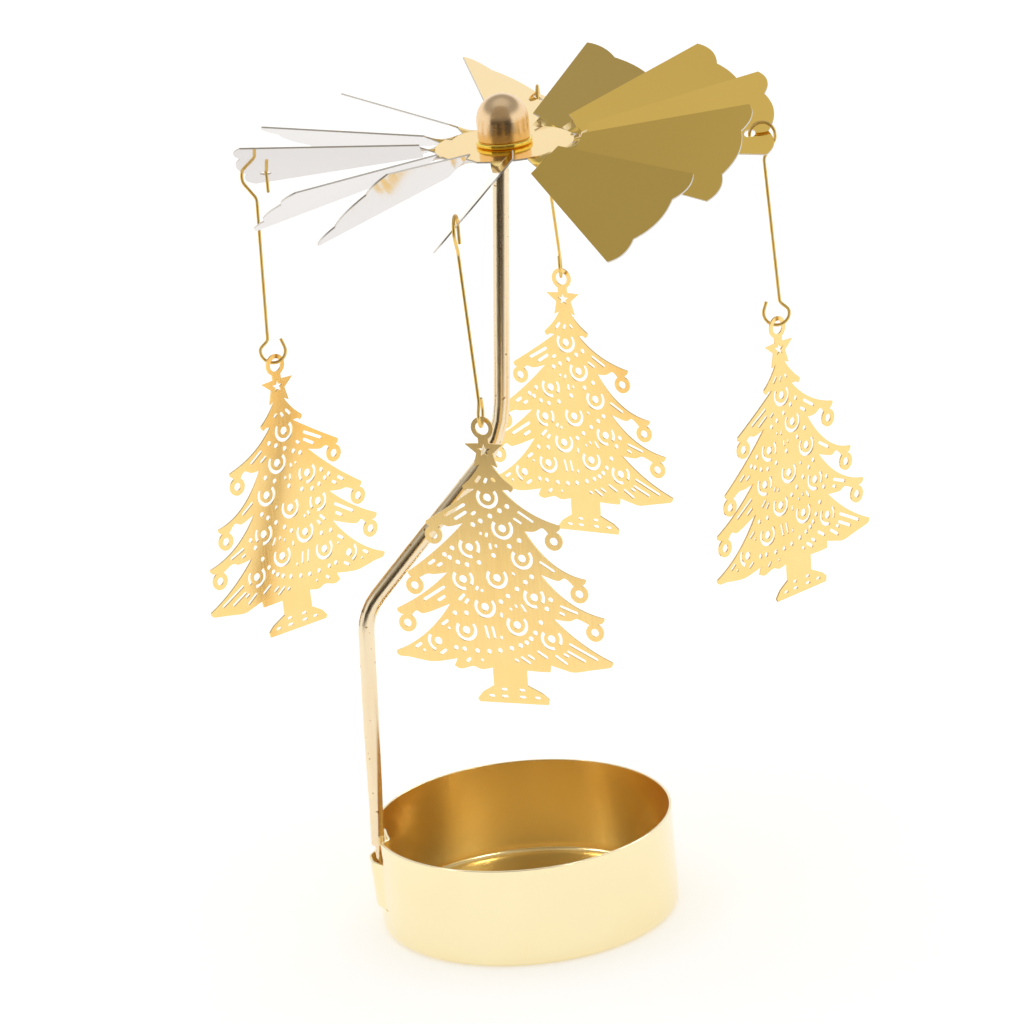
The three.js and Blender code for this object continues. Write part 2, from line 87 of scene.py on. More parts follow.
def quadCurve(a, control, b, steps):  # without its first point
    made = []
    for i in range(1, steps + 1):
        t = i / steps
        made.append(tuple(
            (1 - t) ** 2 * p + 2 * t * (1 - t) * q + t * t * r for p, q, r in zip(a, control, b)))
    return made


def smoothThrough(points, steps):  # a soft curve through a few points, without the first
    made = []
    for i in range(len(points) - 1):
        before, a, b = points[max(i - 1, 0)], points[i], points[i + 1]
        after = points[min(i + 2, len(points) - 1)]
        for k in range(1, steps + 1):
            t = k / steps
            made.append(tuple(
                q + 0.5 * t * (r - p + t * (2 * p - 5 * q + 4 * r - s + t * (3 * (q - r) + s - p)))
                for p, q, r, s in zip(before, a, b, after)))
    return made


def smoothStep(value, low, high):
    t = min(max((value - low) / (high - low), 0), 1)
    return t * t * (3 - 2 * t)


def spinProfile(bm, points, steps):  # [radius, height] points in mm, turned about the upright axis
    verts = [bm.verts.new((radius * mm, 0, height * mm)) for radius, height in points]
    edges = [bm.edges.new(pair) for pair in zip(verts, verts[1:])]
    bmesh.ops.spin(bm, geom=verts + edges, cent=(0, 0, 0), axis=(0, 0, 1),
                   angle=2 * math.pi, steps=steps, use_merge=True)
    bmesh.ops.remove_doubles(bm, verts=bm.verts, dist=1e-7)
    bmesh.ops.recalc_face_normals(bm, faces=bm.faces)


def fillLoops(bm, loops):  # flat sheet from an outline and its holes, points in mm
    edges = []
    for loop in loops:
        verts = [bm.verts.new((x * mm, y * mm, 0)) for x, y in loop]
        edges += [bm.edges.new((a, b)) for a, b in zip(verts, verts[1:] + verts[:1])]
    made = bmesh.ops.triangle_fill(bm, use_beauty=True, edges=edges)["geom"]
    faces = [item for item in made if isinstance(item, bmesh.types.BMFace)]
    for face in faces:
        if face.normal.z < 0:
            face.normal_flip()
    return faces


def movedRing(made):  # the new ring of verts and edges that an extrude or a spin leaves
    verts = [item for item in made if isinstance(item, bmesh.types.BMVert)]
    inside = set(verts)
    edges = [item for item in made if isinstance(item, bmesh.types.BMEdge) and inside.issuperset(item.verts)]
    return verts, edges


def drawnRing(bm, edges, shift):
    verts, edges = movedRing(bmesh.ops.extrude_edge_only(bm, edges=edges)["geom"])
    bmesh.ops.translate(bm, verts=verts, vec=shift)
    return verts, edges


def bendWire(bm, radius, sides, start, heading, moves):
    # a ring drawn along straight runs and round bends in the XZ plane, as wire goes through a jig
    turnAxis = Vector((0, 1, 0))
    place, heading = Vector(start) * mm, Vector(heading).normalized()
    aim = Vector((0, 0, 1)).rotation_difference(heading).to_matrix().to_4x4()
    ring = bmesh.ops.create_circle(bm, segments=sides, radius=radius * mm,
                                   matrix=Matrix.Translation(place) @ aim)["verts"]
    verts, edges = ring, list({edge for vert in ring for edge in vert.link_edges})
    first = edges
    for move in moves:
        if move[0] == "run":
            length, steps = move[1] * mm, move[2]
            for i in range(steps):
                verts, edges = drawnRing(bm, edges, heading * length / steps)
            place += heading * length
        else:
            angle, steps = math.radians(move[1]), max(3, round(abs(move[1]) / facetAngle))
            centre = place + turnAxis.cross(heading) * move[2] * mm * math.copysign(1, angle)
            made = bmesh.ops.spin(bm, geom=verts + edges, cent=centre, axis=turnAxis,
                                  angle=angle, steps=steps)["geom_last"]
            verts, edges = movedRing(made)
            turn = Matrix.Rotation(angle, 3, turnAxis)
            heading, place = turn @ heading, centre + turn @ (place - centre)
    return first, edges, place, heading


def sideStep(shift, angle, radius):  # bend, run and bend back that move a wire sideways, and their length
    turn = math.radians(angle)
    run = (shift - 2 * radius * (1 - math.cos(turn))) / math.sin(turn)
    drop = 2 * radius * math.sin(turn) + run * math.cos(turn)
    return [("bend", angle, radius), ("run", run, 2), ("bend", -angle, radius)], drop


def finishPiece(bm, name, body, nodes, materials, smooth=False):
    mesh = bpy.data.meshes.new(name)
    for face in bm.faces:
        face.smooth = face.smooth or smooth
    bm.to_mesh(mesh)
    bm.free()
    for material in materials:
        mesh.materials.append(material)
    piece = bpy.data.objects.new(name, mesh)
    scene.collection.objects.link(piece)
    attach(piece, body)
    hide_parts(*nodes)
    print("made", name, len(mesh.polygons), "faces")
    return piece


def addSheet(piece, thickness, underside=0, edge=0):  # gives a middle surface its real gauge
    gauge = piece.modifiers.new("gauge", "SOLIDIFY")
    gauge.thickness = thickness * mm
    gauge.offset = 0
    gauge.use_even_offset = True
    gauge.material_offset = underside
    gauge.material_offset_rim = edge


def addEdgeBreak(piece, width, segments=2):  # rubbed edges that catch the light
    broken = piece.modifiers.new("edgeBreak", "BEVEL")
    broken.width = width * mm
    broken.segments = segments
    broken.limit_method = "ANGLE"
    broken.angle_limit = math.radians(40)
    broken.harden_normals = True


# finishes: thin metals, most of them under clear lacquer, which is a coat over the metallic base

def metalFinish(name, settings):
    material = bpy.data.materials.new(name)
    material.use_nodes = True
    tree = material.node_tree
    shader = tree.nodes["Principled BSDF"]
    shader.inputs["Metallic"].default_value = 1
    shader.inputs["Coat Weight"].default_value = settings["coat"]
    shader.inputs["Coat Roughness"].default_value = settings["coatRoughness"]
    place = addNode(tree, "ShaderNodeTexCoord").outputs["Object"]
    # streaks from rolling or drawing: noise stretched along one axis, sizes in mm
    stretch = addNode(tree, "ShaderNodeMapping", {"vector_type": "TEXTURE"},
                      {"Vector": place, "Scale": [s * mm for s in settings["streak"]]})
    streak = addNode(tree, "ShaderNodeTexNoise", None,
                     {"Vector": stretch.outputs["Vector"], "Scale": 1, "Detail": 3, "Roughness": 0.6})
    # clouding of the plate; a colour mix takes its share at 0 and its colours at 6 and 7, and gives one at 2
    cloud = addNode(tree, "ShaderNodeTexNoise", None,
                    {"Vector": place, "Scale": 1 / (settings["cloud"] * mm), "Detail": 2})
    tone = addNode(tree, "ShaderNodeMix", {"data_type": "RGBA"},
                   {0: cloud.outputs["Fac"], 6: hexLinear(settings["light"]), 7: hexLinear(settings["deep"])})
    colour = tone.outputs[2]
    if "speck" in settings:  # small pits where the plate has tarnished
        pits = addNode(tree, "ShaderNodeTexNoise", None,
                       {"Vector": place, "Scale": 1 / (settings["speckSize"] * mm), "Detail": 1})
        few = addNode(tree, "ShaderNodeMapRange", None,
                      {"Value": pits.outputs["Fac"], "From Min": 0.7, "From Max": 0.76})
        colour = addNode(tree, "ShaderNodeMix", {"data_type": "RGBA"},
                         {0: few.outputs["Result"], 6: colour, 7: hexLinear(settings["speck"])}).outputs[2]
    tree.links.new(colour, shader.inputs["Base Color"])
    gloss = addNode(tree, "ShaderNodeMapRange", None,
                    {"Value": streak.outputs["Fac"], "From Min": 0.3, "From Max": 0.7,
                     "To Min": settings["roughness"][0], "To Max": settings["roughness"][1]})
    tree.links.new(gloss.outputs["Result"], shader.inputs["Roughness"])
    relief = addNode(tree, "ShaderNodeBump", None,
                     {"Height": streak.outputs["Fac"], "Strength": settings["bump"], "Distance": 0.05 * mm})
    tree.links.new(relief.outputs["Normal"], shader.inputs["Normal"])
    return material


# tinplate cup, deep drawn and gold lacquered: soft pale gloss with faint upright draw marks
cupGold = metalFinish("goldLacquer_drawnTinplate", {
    "light": "#fdf1c8", "deep": "#fae9b8", "streak": (0.5, 0.5, 30), "cloud": 18,
    "roughness": (0.16, 0.24), "bump": 0.05, "coat": 0.6, "coatRoughness": 0.08})
# inside of the same cup: a deeper copy of the outside finish, painted shade for the inside of the cup
cupInsidePaintedShade = metalFinish("goldLacquer_insidePaintedShade", {
    "light": "#f5dfa4", "deep": "#efd28e", "streak": (0.6, 0.6, 0.9), "cloud": 12,
    "roughness": (0.22, 0.26), "bump": 0.01, "coat": 0.4, "coatRoughness": 0.15})
# brass rod, drawn and polished: bright, with lengthwise lines and a few tarnished specks
rodBrass = metalFinish("brass_drawnPolished", {
    "light": "#f5e4c4", "deep": "#efd9b2", "streak": (0.25, 0.25, 14), "cloud": 6,
    "roughness": (0.16, 0.24), "bump": 0.06, "coat": 0.3, "coatRoughness": 0.12,
    "speck": "#a8864e", "speckSize": 0.9})
# rose brass cap, deep drawn and buffed: soft reflections with a warm pink cast
capBrass = metalFinish("roseBrass_buffed", {
    "light": "#fbdcae", "deep": "#f3cfa0", "streak": (3, 3, 0.3), "cloud": 4,
    "roughness": (0.22, 0.28), "bump": 0.02, "coat": 0.2, "coatRoughness": 0.2})
# yellow brass collar, turned and polished: the brightest yellow on the piece
collarBrass = metalFinish("yellowBrass_turnedPolished", {
    "light": "#fbdf6a", "deep": "#f2cd52", "streak": (3, 3, 0.12), "cloud": 4,
    "roughness": (0.05, 0.1), "bump": 0.05, "coat": 0.2, "coatRoughness": 0.04})
# fan sheet, gold lacquered on its upper face: a near mirror with faint rolling lines
fanGold = metalFinish("goldLacquer_rolledTinplate", {
    "light": "#fad36a", "deep": "#f4ca5e", "streak": (0.4, 24, 24), "cloud": 25,
    "roughness": (0.05, 0.09), "bump": 0.03, "coat": 0.45, "coatRoughness": 0.04})
# bare underside of the same sheet: cold silver mirror
fanSilver = metalFinish("tinplate_rolledBare", {
    "light": "#dcd8d7", "deep": "#d2cecd", "streak": (0.4, 24, 24), "cloud": 25,
    "roughness": (0.04, 0.08), "bump": 0.03, "coat": 0.0, "coatRoughness": 0.04})
# sheared edge of that sheet: bare, torn matt by the die
fanEdge = metalFinish("tinplate_shearedEdge", {
    "light": "#e4dfd8", "deep": "#d2ccc2", "streak": (0.4, 0.4, 0.2), "cloud": 6,
    "roughness": (0.4, 0.5), "bump": 0.1, "coat": 0.0, "coatRoughness": 0.2})
# hook wire, drawn and plated
wireGold = metalFinish("goldPlate_drawnWire", {
    "light": "#f6d684", "deep": "#e7bd62", "streak": (0.2, 0.2, 6), "cloud": 5,
    "roughness": (0.3, 0.4), "bump": 0.05, "coat": 0.2, "coatRoughness": 0.2})
# ornaments, etched brass sheet with bright plate: satin, pale yellow
treeGold = metalFinish("goldPlate_etchedBrass", {
    "light": "#ffe09a", "deep": "#ffd684", "streak": (0.35, 0.35, 8), "cloud": 9,
    "roughness": (0.17, 0.23), "bump": 0.03, "coat": 0.3, "coatRoughness": 0.12})
print("finishes ready")


# candle cup with the clip lanced out of its wall

cupSizes = {
    "radius": 28, "height": 19.2, "wall": 0.5, "corner": 1.5,
    "bandHeight": 4.05, "strapHeight": 9, "slit": 0.3,  # rim band pushed in, strap pushed out
    "clipTurn": 15.1, "clipHalf": 4.6, "bandRamp": 2, "bandPush": 1.9,
    "strapRamp": 3.4, "strapTop": 1.4, "strapBottom": 1.0,
    "floorRings": (0, 0.3, 0.6, 0.85), "cornerSteps": 6, "edge": 0.12, "near": 0.01,
    "steps": 360, "strapRows": 8, "bandRows": 6, "wallRows": 4,
}


def makeCup(s):
    bm = bmesh.new()
    middle = s["radius"] - s["wall"] / 2
    cornerRadius = s["corner"] - s["wall"] / 2
    bandLow = s["height"] - s["bandHeight"]
    strapHigh = bandLow - s["slit"]
    strapLow = strapHigh - s["strapHeight"]
    profile = [(middle * share, s["wall"] / 2) for share in s["floorRings"]]
    profile += arcPoints(middle - cornerRadius, s["corner"], cornerRadius, -90, 0, s["cornerSteps"])
    for low, high, rows in [
            (s["corner"], strapLow - s["slit"], s["wallRows"]), (strapLow - s["slit"], strapLow, 1),
            (strapLow, strapHigh, s["strapRows"]), (strapHigh, bandLow, 1),
            (bandLow, s["height"], s["bandRows"])]:
        profile += [(middle, low + (high - low) * i / rows) for i in range(1, rows + 1)]
    spinProfile(bm, profile, s["steps"])

    def alongWall(co):  # distance round the wall from the middle of the clip, in mm
        return (math.atan2(co.y, -co.x) + math.radians(s["clipTurn"])) * middle

    slits = []
    for face in bm.faces:
        centre = face.calc_center_median()
        height = centre.z / mm
        inSlit = strapLow - s["slit"] < height < strapLow or strapHigh < height < bandLow
        if inSlit and abs(alongWall(centre)) < s["clipHalf"]:
            slits.append(face)
    bmesh.ops.delete(bm, geom=slits, context="FACES")
    for vert in bm.verts:
        height = vert.co.z / mm
        inside = s["clipHalf"] - abs(alongWall(vert.co))
        push = 0
        if height > bandLow - s["near"]:
            push = -s["bandPush"] * smoothStep(inside, 0, s["bandRamp"])
        elif strapLow - s["near"] < height < strapHigh + s["near"]:
            share = (height - strapLow) / s["strapHeight"]
            push = s["strapBottom"] + (s["strapTop"] - s["strapBottom"]) * share
            push *= smoothStep(inside, 0, s["strapRamp"])
        if push:
            vert.co.xy *= 1 + push * mm / vert.co.xy.length
    cup = finishPiece(bm, "cup_drawn", "cup", ["candle_cup"], [cupGold, cupInsidePaintedShade], smooth=True)
    # the inner face of the wall takes the deeper copy of the finish, painted shade inside the cup
    addSheet(cup, s["wall"], underside=1)
    addEdgeBreak(cup, s["edge"])
    return cup


cup = makeCup(cupSizes)


# support rod, pressed flat at the foot, cranked twice and pointed

rodSizes = {
    "radius": 1.5, "lean": 2.8, "upperLean": 2.2, "turn": 11.59, "foot": (-26.792, -7.229, 15),
    "flat": (2.4, 4.6), "flatLength": 27, "shoulder": 2.9, "tongue": (1, 4), "tongueDepth": 4,
    "lower": 45.36, "crank": (26.6, 31.33), "upper": 63.4, "setbacks": (4, 7),
    "point": 3.5, "blunt": 0.2, "tongueEnd": (0, 20, 40, 60, 75),  # degrees round the tongue's end
    "sides": 40, "runSteps": (24, 6, 8), "edge": 0.12,
}


def makeRod(s):
    bm = bmesh.new()
    bendOut = math.degrees(math.atan2(*s["crank"]))
    bendBack = bendOut - s["upperLean"]
    lowBack, highBack = s["setbacks"]
    straight = s["lower"] - lowBack
    lowerSteps, crankSteps, upperSteps = s["runSteps"]
    first, last, tip, heading = bendWire(bm, s["radius"], s["sides"], (0, 0, s["shoulder"]), (0, 0, 1), [
        ("run", straight, lowerSteps), ("bend", bendOut, lowBack / math.tan(math.radians(bendOut) / 2)),
        ("run", math.hypot(*s["crank"]) - lowBack - highBack, crankSteps),
        ("bend", -bendBack, highBack / math.tan(math.radians(bendBack) / 2)),
        ("run", s["upper"] - highBack - s["point"], upperSteps)])
    for vert in bm.verts:  # pressed flat towards the foot
        height = vert.co.z / mm
        if height < s["shoulder"] + straight:
            press = 1 - smoothStep(height, s["shoulder"], s["shoulder"] + s["flatLength"])
            half = (s["radius"] + press * (s["flat"][0] / 2 - s["radius"])) * mm
            vert.co.x = min(max(vert.co.x, -half), half)
            vert.co.y *= 1 + press * (s["flat"][1] / 2 / s["radius"] - 1)
    verts, edges = drawnRing(bm, last, heading * s["point"] * mm)
    top = tip + heading * s["point"] * mm
    shrink = s["blunt"] / s["radius"]
    bmesh.ops.scale(bm, vec=(shrink, shrink, 1), space=Matrix.Translation(-top), verts=verts)
    bmesh.ops.contextual_create(bm, geom=edges)
    verts, edges = drawnRing(bm, first, (0, 0, 0))  # shoulder, then the tongue with its round end
    narrow = [t / f for t, f in zip(s["tongue"], s["flat"])]
    bmesh.ops.scale(bm, vec=(*narrow, 1), verts=verts)
    halfWide = s["tongue"][1] / 2
    height = s["shoulder"]
    width = 1
    for angle in s["tongueEnd"]:
        low = halfWide - s["tongueDepth"] - halfWide * math.sin(math.radians(angle))
        verts, edges = drawnRing(bm, edges, (0, 0, (low - height) * mm))
        across = math.cos(math.radians(angle))
        bmesh.ops.scale(bm, vec=(1, across / width, 1), verts=verts)
        height, width = low, across
    bmesh.ops.contextual_create(bm, geom=edges)
    bmesh.ops.recalc_face_normals(bm, faces=bm.faces)
    stand = Matrix.Translation(Vector(s["foot"]) * mm) @ Matrix.Rotation(math.radians(s["turn"]), 4, "Z")
    stand = stand @ Matrix.Rotation(math.radians(s["lean"]), 4, "Y")
    bmesh.ops.transform(bm, matrix=stand, verts=bm.verts)
    rod = finishPiece(bm, "rod_cranked", "rod", ["support_rod"], [rodBrass], smooth=True)
    addEdgeBreak(rod, s["edge"])


makeRod(rodSizes)


# pivot cap and collar on the rotor's axis

spinAxis = Vector(joints["rotor_spin"]["pos_m"])
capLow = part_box("pivot_cap")[0]
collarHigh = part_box("cap_collar")[1]
capSizes = {
    "radius": 4.7, "wall": 0.6, "skirt": 3.5, "lip": 0.25,
    "steps": 96, "domeSteps": 24, "hollowSteps": 20, "lipSteps": 5,
}
collarSizes = {
    "radius": 5.1, "height": 1.0, "bead": 0.35, "bore": 3.2, "tube": 0.5,
    "clinch": 0.7, "clinchSheet": 0.4, "clinchRound": 0.15, "hub": 0.35,
    "steps": 96, "beadSteps": 5, "clinchSteps": 3, "edge": 0.06,
}


def makeCap(s):
    bm = bmesh.new()
    inner = s["radius"] - s["wall"]
    dome = arcPoints(0, s["skirt"], s["radius"], 90, 0, s["domeSteps"])
    hollow = arcPoints(0, s["skirt"], inner, 0, 90, s["hollowSteps"])
    lip = arcPoints(s["radius"] - s["lip"], s["lip"], s["lip"], 0, -90, s["lipSteps"])
    profile = [(0, dome[0][1])] + dome[1:] + lip + [(inner, 0)] + hollow[:-1] + [(0, hollow[-1][1])]
    spinProfile(bm, profile, s["steps"])
    bmesh.ops.translate(bm, verts=bm.verts, vec=(spinAxis.x, spinAxis.y, capLow.z))
    finishPiece(bm, "cap_domed", "rotor", ["pivot_cap"], [capBrass], smooth=True)


def makeCollar(s):
    bm = bmesh.new()
    tube = s["bore"] + s["tube"]
    beadMiddle = s["radius"] - s["bead"]
    bead = arcPoints(beadMiddle, s["height"] - s["bead"], s["bead"], 90, 0, s["beadSteps"])
    bead += arcPoints(beadMiddle, s["bead"], s["bead"], 0, -90, s["beadSteps"])
    clinch = tube + s["clinch"]
    roll = s["clinchRound"]
    low = -s["hub"] - s["clinchSheet"]
    profile = [(s["bore"], s["height"])] + bead + [(tube, 0), (tube, -s["hub"]), (clinch, -s["hub"])]
    profile += arcPoints(clinch - roll, low + roll, roll, 0, -90, s["clinchSteps"])
    profile += [(s["bore"], low), (s["bore"], s["height"])]
    spinProfile(bm, profile, s["steps"])
    bmesh.ops.translate(bm, verts=bm.verts, vec=(spinAxis.x, spinAxis.y, collarHigh.z - s["height"] * mm))
    collar = finishPiece(bm, "collar_turned", "rotor", ["cap_collar"], [collarBrass], smooth=True)
    addEdgeBreak(collar, s["edge"])


makeCap(capSizes)
makeCollar(collarSizes)


# fan: one stamped sheet, twelve blades twisted at their necks

fanSizes = {
    "turn": 2.8, "halfAngle": 13.2, "sheet": 0.3,
    "sets": [  # twist, droop and yaw of each blade, bent by hand at its neck
        (29, -3.5, 0), (32, -4.5, 0), (29, -3, 1), (32, 0, 0), (27, 3, 0), (26, 3.5, -2),
        (31, 0.5, 0), (29, 5, 2), (40, -0.5, -3), (46, -2, -6), (34, 10, 7), (36, -2, 0)],
    "hub": 12.6, "bore": 3.85, "neckLength": 2.6, "neckHalf": 2, "reach": 48.5,
    "cornerDrop": 2.1, "lobeDrop": 0.6, "cuspDrop": 1.4, "cuspShare": 0.45, "lobeShare": 0.75,
    "holeRadius": 1.05, "holeInset": 4.7, "hooks": 4,  # each hole lies behind a notch of the edge
    "lobeSteps": 14, "holeSteps": 28, "neckSteps": 10, "hubSteps": 8, "boreSteps": 64,
}


def makeFan(s):
    bm = bmesh.new()
    neckBase = math.sqrt(s["hub"] ** 2 - s["neckHalf"] ** 2)
    neckEnd = neckBase + s["neckLength"]
    slope = math.tan(math.radians(s["halfAngle"]))
    halfWide = (s["reach"] - s["cornerDrop"]) * slope
    step = 360 / len(s["sets"])
    neckAngle = math.degrees(math.asin(s["neckHalf"] / s["hub"]))

    def lobe(a, middle, b):  # arc through a middle point, without its first point
        control = [2 * m - 0.5 * (p + q) for m, p, q in zip(middle, a, b)]
        return quadCurve(a, control, b, s["lobeSteps"])

    def edgePoint(drop, share):
        return (s["reach"] - drop, share * halfWide)

    low, high = edgePoint(s["cornerDrop"], -1), edgePoint(s["cornerDrop"], 1)
    lowCusp, highCusp = edgePoint(s["cuspDrop"], -s["cuspShare"]), edgePoint(s["cuspDrop"], s["cuspShare"])
    outline = [(neckEnd, -s["neckHalf"]), (neckEnd, -neckEnd * slope), low]
    outline += lobe(low, edgePoint(s["lobeDrop"], -s["lobeShare"]), lowCusp)
    outline += lobe(lowCusp, edgePoint(0, 0), highCusp)
    outline += lobe(highCusp, edgePoint(s["lobeDrop"], s["lobeShare"]), high)
    outline += [(neckEnd, neckEnd * slope), (neckEnd, s["neckHalf"])]
    hole = arcPoints(s["reach"] - s["holeInset"], lowCusp[1], s["holeRadius"], 0, 360, s["holeSteps"])[:-1]
    neckMiddle = Matrix.Translation(((neckBase + neckEnd) / 2 * mm, 0, 0))
    neckShape = neckMiddle @ Matrix.Diagonal((s["neckLength"] * mm, 2 * s["neckHalf"] * mm, 1, 1))
    rim = []
    for i, bladeSet in enumerate(s["sets"]):
        place = Matrix.Rotation(math.radians(step * i), 4, "Z")

        def bent(share):  # the set comes in evenly along the neck
            twist, droop, yaw = (math.radians(angle) * share for angle in bladeSet)
            turn = Matrix.Rotation(yaw, 4, "Z") @ Matrix.Rotation(droop, 4, "Y")
            turn = turn @ Matrix.Rotation(twist, 4, "X")
            return place @ neckMiddle @ turn @ neckMiddle.inverted()

        hooked = i % (len(s["sets"]) // s["hooks"]) == 0
        faces = fillLoops(bm, [outline, hole] if hooked else [outline])
        blade = list({vert for face in faces for vert in face.verts})
        bmesh.ops.transform(bm, matrix=bent(1), verts=blade)
        neck = bmesh.ops.create_grid(bm, x_segments=s["neckSteps"], y_segments=1, size=0.5,
                                     matrix=neckShape)["verts"]
        for vert in neck:
            vert.co = bent((vert.co.x / mm - neckBase) / s["neckLength"]) @ vert.co
        for face in {face for vert in neck for face in vert.link_faces}:
            face.smooth = True
        gap = arcPoints(0, 0, s["hub"], step * i + neckAngle, step * (i + 1) - neckAngle, s["hubSteps"])
        root = [place @ Vector((neckBase, y, 0)) for y in (-s["neckHalf"], s["neckHalf"])]
        rim += [(corner.x, corner.y) for corner in root] + gap[1:-1]
    fillLoops(bm, [rim, arcPoints(0, 0, s["bore"], 0, 360, s["boreSteps"])[:-1]])
    bmesh.ops.remove_doubles(bm, verts=bm.verts, dist=1e-6)
    bmesh.ops.recalc_face_normals(bm, faces=bm.faces)
    level = min(bm.faces, key=lambda face: face.calc_center_median().xy.length)
    if level.normal.z < 0:
        bmesh.ops.reverse_faces(bm, faces=bm.faces)
    height = collarHigh.z - (collarSizes["height"] + s["sheet"] / 2) * mm
    stand = Matrix.Translation((spinAxis.x, spinAxis.y, height))
    stand = stand @ Matrix.Rotation(math.radians(s["turn"]), 4, "Z")
    bmesh.ops.transform(bm, matrix=stand, verts=bm.verts)
    fan = finishPiece(bm, "fan_stamped", "rotor", ["fan"], [fanGold, fanSilver, fanEdge])
    addSheet(fan, s["sheet"], underside=1, edge=2)


makeFan(fanSizes)


# wire hooks: a bow over the blade's edge, a straight shank and an open eye

hookSizes = {
    "wire": 0.3, "sides": 16, "bow": 2.25, "freeLeg": 3.3, "shankStart": 4.9,
    "shank": 25.4, "eye": 2.3, "eyeHeight": 5, "offset": 0.8, "mouth": 1.5, "eyeTurn": 200,
    "kink": (35, 2), "flare": (45, 1.2),  # angle and radius of the bends at the shank's two ends
    "edge": 0.06,
}
arms = ("right", "back", "left", "front")


def makeHook(name, s):
    bm = bmesh.new()
    swing, rock = joints[name + "_swing"], joints[name + "_rock"]
    kink, kinkDrop = sideStep(s["bow"], *s["kink"])
    slant = math.degrees(math.atan2(s["offset"], s["shank"]))
    flare, flareDrop = sideStep(s["eye"] - s["offset"], *s["flare"])
    # the flare bends to the other side
    flare = [(kind, -size if kind == "bend" else size, last) for kind, size, last in flare]
    shankRun = s["shank"] + s["eyeHeight"] - s["eye"] - flareDrop
    moves = [("run", s["freeLeg"], 2), ("bend", 180, s["bow"]), ("run", s["shankStart"] - kinkDrop, 2)]
    moves += kink[:2] + [("bend", kink[2][1] - slant, kink[2][2]), ("run", shankRun, 8)]
    moves += flare[:2] + [("bend", flare[2][1] + slant, flare[2][2]), ("bend", s["eyeTurn"], s["eye"])]
    moves += [("run", s["mouth"], 2)]
    ends = bendWire(bm, s["wire"], s["sides"], (-s["bow"], 0, -s["freeLeg"]), (0, 0, 1), moves)[:2]
    for edges in ends:
        bmesh.ops.contextual_create(bm, geom=edges)
    bmesh.ops.recalc_face_normals(bm, faces=bm.faces)
    outward = Vector(rock["axis"])
    turn = Matrix.Rotation(math.atan2(outward.y, outward.x), 4, "Z")
    eye = turn.inverted() @ (Vector(rock["pos_m"]) - Vector(swing["pos_m"]))
    for vert in bm.verts:  # the shank leans to where its eye hangs
        vert.co.xy += eye.xy * min(max((-vert.co.z / mm - s["shankStart"]) / s["shank"], 0), 1)
    bmesh.ops.transform(bm, matrix=Matrix.Translation(Vector(swing["pos_m"])) @ turn, verts=bm.verts)
    hook = finishPiece(bm, "hook_bent_" + name, name + "_hook", ["hook_" + name], [wireGold],
                       smooth=True)
    addEdgeBreak(hook, s["edge"])


for arm in arms:
    makeHook(arm, hookSizes)


# pierced trees: etched sheet, drawn in mm from the middle of the hanging ring

treeSizes = {
    "sheet": 0.3, "drop": 0.45, "yaws": {"right": 49.8, "back": -26.2, "left": 225.8, "front": -17.2},
    "ring": 2.05, "ringHole": 1.25, "star": (-4.1, 3.75, 1.6), "starHole": (1.25, 0.5),
    "neck": (1.1, -6.6), "ball": 1.65, "ballHole": 0.75, "ballArc": (72, -238), "tip": 0.5,
    "bauble": 1.76, "baubleLine": 0.66, "baubleMouth": 50, "baubleDot": 0.75,
    "baubleHalf": 250, "baubleSplit": (285, 325),  # where a half crescent ends and a split one is broken
    "garlandDot": 0.48, "slot": 0.58, "slotLeast": 0.1,
    "edgeSteps": 14, "tipSteps": 5, "ballSteps": 28, "underSteps": 6, "hemSteps": 5, "ringSteps": 36,
    "ringHoleSteps": 32, "ballHoleSteps": 24, "dotSteps": 20, "stringSteps": 40, "beadSteps": 14,
    "slotSteps": 5,
}
# tiers of branches: tip, pull of the hollow upper edge, ball, underside back to the next notch
treeTiers = {
    "right": [
        {"tip": (4.7, -10.6), "pull": (0.42, 0.62), "under": [(3.8, -11.2), (2.6, -11.2)]},
        {"tip": (12.9, -17.4), "pull": (0.38, 0.76), "ball": (11.5, -20.3),
         "under": [(9.6, -17.9), (8, -18.6), (6.1, -18.6)]},
        {"tip": (16.8, -27.1), "pull": (0.4, 0.9), "ball": (15.4, -29.8),
         "under": [(13, -27), (11.5, -27.5), (8.3, -26.4)]},
        {"tip": (19.6, -34.1), "pull": (0.4, 0.84), "ball": (17.7, -36.8),
         "under": [(14.6, -34.4), (13, -34.9), (10, -34.6)]},
        {"tip": (20.5, -42.2), "pull": (0.45, 0.66),
         "under": [(16.6, -43.8), (13.2, -44.4), (11.2, -44), (8.8, -43.3)]},
    ],
    "left": [
        {"tip": (-4.7, -10.6), "pull": (0.42, 0.62), "under": [(-3.8, -11.2), (-2.6, -11.2)]},
        {"tip": (-12.4, -17.4), "pull": (0.48, 0.52), "ball": (-11.2, -20),
         "under": [(-9.4, -18), (-8, -18.3), (-5.4, -17.6)]},
        {"tip": (-16.8, -27), "pull": (0.46, 0.56), "ball": (-15.8, -29.6),
         "under": [(-13.2, -27.3), (-11.8, -27.3), (-9.3, -26.9)]},
        {"tip": (-19.6, -34), "pull": (0.45, 0.62), "ball": (-17.9, -36.7),
         "under": [(-15.9, -34.3), (-14.3, -34.7), (-9.3, -32.7)]},
        {"tip": (-20.5, -42), "pull": (0.42, 0.72),
         "under": [(-18, -43.1), (-16.4, -43.4), (-13.3, -43.7), (-8.9, -42.9)]},
    ],
}
treeHem = {  # the skirt's ragged lower edge, in to the trunk
    "right": [[(8.8, -43.3), (8.6, -44.6)], [(8.6, -44.6), (6.2, -44.6), (4.1, -44.5)]],
    "left": [[(-8.9, -42.9), (-9.6, -44.3)],
             [(-9.6, -44.3), (-8.3, -44.8), (-6, -44.2), (-4.4, -44.7), (-2.3, -44.3)]],
}
